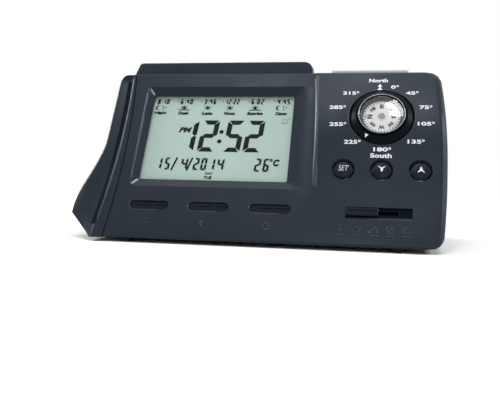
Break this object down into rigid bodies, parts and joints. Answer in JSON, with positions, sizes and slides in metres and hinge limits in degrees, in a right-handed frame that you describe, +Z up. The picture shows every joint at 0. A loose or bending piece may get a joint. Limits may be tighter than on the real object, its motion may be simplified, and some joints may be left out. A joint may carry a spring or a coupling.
{
  "type": "azan clock",
  "caption": "Desk clock with a sunk liquid-crystal display on a leaning face, long and round keys, a slide switch, a snooze bar, and a compass with a turning ring.",
  "frame": {"origin": "middle of the bounding box in plan, at the height the feet stand on", "axes": "+X to the right along the width, +Y to the back, +Z up; the face leans back 30 degrees and looks towards -Y"},
  "size_m": [0.2064, 0.0778, 0.1039],
  "materials": {
    "dark_shell": "fine-textured moulded ABS, dark blue-grey, satin",
    "black_keys": "moulded ABS, near black, satin",
    "pale_key": "moulded ABS, pale grey",
    "clear_window": "clear acrylic window",
    "lcd_glass": "grey-green liquid-crystal glass with dark segments",
    "backlight": "white light guide",
    "circuit_board": "green solder mask",
    "switch_body": "black switch housing",
    "compass_black": "gloss black moulded ring",
    "compass_smoke": "smoke grey cup with a polished rim",
    "compass_white": "white card with black marks",
    "compass_clear": "clear domed lens",
    "plated_steel": "zinc-plated steel",
    "battery_sleeve": "plain printed sleeve, no words",
    "cone_paper": "black paper cone",
    "foot_rubber": "black rubber"
  },
  "bodies": {
    "clock_body": {"front_case": "dark_shell", "rear_case": "dark_shell", "left_cheek": "dark_shell", "display_window": "clear_window", "lcd_panel": "lcd_glass", "backlight_panel": "backlight", "main_board": "circuit_board", "key_board": "circuit_board", "top_board": "circuit_board", "slide_switch": "switch_body", "compass_cup": "compass_smoke", "compass_lens": "compass_clear", "compass_pivot": "plated_steel", "contact_left": "plated_steel", "contact_right": "plated_steel", "speaker_basket": "plated_steel", "board_screw_1": "plated_steel", "board_screw_2": "plated_steel", "board_screw_3": "plated_steel", "board_screw_4": "plated_steel", "board_screw_5": "plated_steel", "board_screw_6": "plated_steel", "case_screw_low_left": "plated_steel", "case_screw_low_right": "plated_steel", "case_screw_high_left": "plated_steel", "case_screw_high_right": "plated_steel", "battery_1": "battery_sleeve", "battery_2": "battery_sleeve", "battery_3": "battery_sleeve", "speaker_cone": "cone_paper", "foot_front_left": "foot_rubber", "foot_front_right": "foot_rubber", "foot_rear_left": "foot_rubber", "foot_rear_right": "foot_rubber"},
    "snooze_bar": {"snooze_bar": "dark_shell"},
    "light_key": {"light_key": "pale_key"},
    "left_key": {"left_key": "black_keys"},
    "middle_key": {"middle_key": "black_keys"},
    "right_key": {"right_key": "black_keys"},
    "set_button": {"set_button": "black_keys"},
    "down_button": {"down_button": "black_keys"},
    "up_button": {"up_button": "black_keys"},
    "slide_knob": {"slide_knob": "black_keys"},
    "compass_ring": {"compass_ring": "compass_black"},
    "compass_card": {"compass_card": "compass_white"},
    "battery_cover": {"battery_cover": "dark_shell"}
  },
  "joints": [
    {"name": "snooze_bar_press", "type": "slide", "parent": "clock_body", "child": "snooze_bar", "axis": [0, 0, -1], "range_m": [0, 0.0007], "stiffness_N_per_m": 800, "springref_m": -0.001},
    {"name": "light_key_press", "type": "slide", "parent": "clock_body", "child": "light_key", "axis": [0, 0, -1], "range_m": [0, 0.001], "stiffness_N_per_m": 400, "springref_m": -0.001},
    {"name": "left_key_press", "type": "slide", "parent": "clock_body", "child": "left_key", "axis": [0, 0.866, -0.5], "range_m": [0, 0.0008], "stiffness_N_per_m": 300, "springref_m": -0.001},
    {"name": "middle_key_press", "type": "slide", "parent": "clock_body", "child": "middle_key", "axis": [0, 0.866, -0.5], "range_m": [0, 0.0008], "stiffness_N_per_m": 300, "springref_m": -0.001},
    {"name": "right_key_press", "type": "slide", "parent": "clock_body", "child": "right_key", "axis": [0, 0.866, -0.5], "range_m": [0, 0.0008], "stiffness_N_per_m": 300, "springref_m": -0.001},
    {"name": "set_button_press", "type": "slide", "parent": "clock_body", "child": "set_button", "axis": [0, 0.866, -0.5], "range_m": [0, 0.0008], "stiffness_N_per_m": 300, "springref_m": -0.001},
    {"name": "down_button_press", "type": "slide", "parent": "clock_body", "child": "down_button", "axis": [0, 0.866, -0.5], "range_m": [0, 0.0008], "stiffness_N_per_m": 300, "springref_m": -0.001},
    {"name": "up_button_press", "type": "slide", "parent": "clock_body", "child": "up_button", "axis": [0, 0.866, -0.5], "range_m": [0, 0.0008], "stiffness_N_per_m": 300, "springref_m": -0.001},
    {"name": "slide_knob_travel", "type": "slide", "parent": "clock_body", "child": "slide_knob", "axis": [1, 0, 0], "range_m": [0, 0.0171]},
    {"name": "compass_ring_turn", "type": "hinge", "parent": "clock_body", "child": "compass_ring", "pos_m": [0.0681, -0.00055, 0.0688], "axis": [0, -0.866, 0.5], "continuous": true},
    {"name": "compass_card_swing", "type": "hinge", "parent": "clock_body", "child": "compass_card", "pos_m": [0.0681, -0.00055, 0.0688], "axis": [0, -0.866, 0.5], "continuous": true},
    {"name": "battery_cover_lift", "type": "slide", "parent": "clock_body", "child": "battery_cover", "axis": [0, 1, 0], "range_m": [0, 0.02]}
  ]
}
